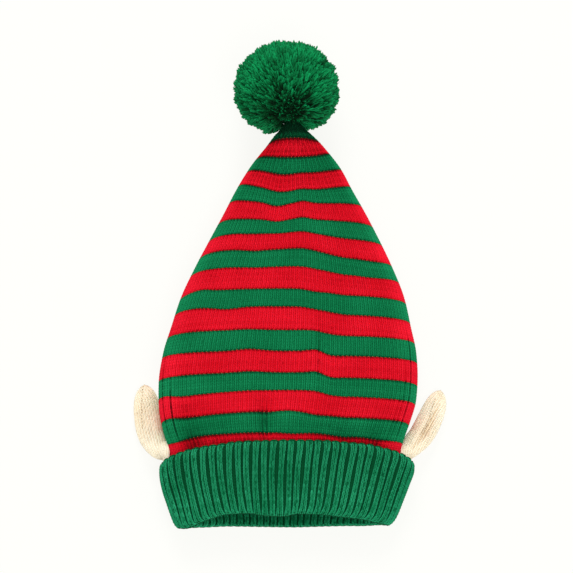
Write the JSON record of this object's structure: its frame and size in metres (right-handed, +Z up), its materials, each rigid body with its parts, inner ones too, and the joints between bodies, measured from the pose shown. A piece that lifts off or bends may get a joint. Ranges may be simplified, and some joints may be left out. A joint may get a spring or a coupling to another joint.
{
  "type": "knitted elf hat with ears and pompom",
  "caption": "Pointed knitted elf hat lying flat, with a red and green striped crown, ribbed turn-up cuff, beige padded ears and a yarn pompom at the tip.",
  "frame": {"origin": "on the surface the hat lies on, under the middle of its outline", "axes": "+Y from the mouth to the pompom, +Z up from the back it lies on to the front, +X to the right as seen from the front"},
  "size_m": [0.2678, 0.424, 0.0876],
  "materials": {
    "striped_knit": "soft acrylic knit in bright red and leaf green stripes, matt with a faint sheen",
    "green_rib_knit": "leaf green rib knit, matt",
    "beige_knit": "pale beige fine knit, matt",
    "green_yarn": "cut leaf green yarn, matt and fluffy"
  },
  "bodies": {
    "root": {"crown": "striped_knit", "brim": "green_rib_knit", "ear_left": "beige_knit", "ear_right": "beige_knit", "pompom": "green_yarn"}
  },
  "joints": []
}
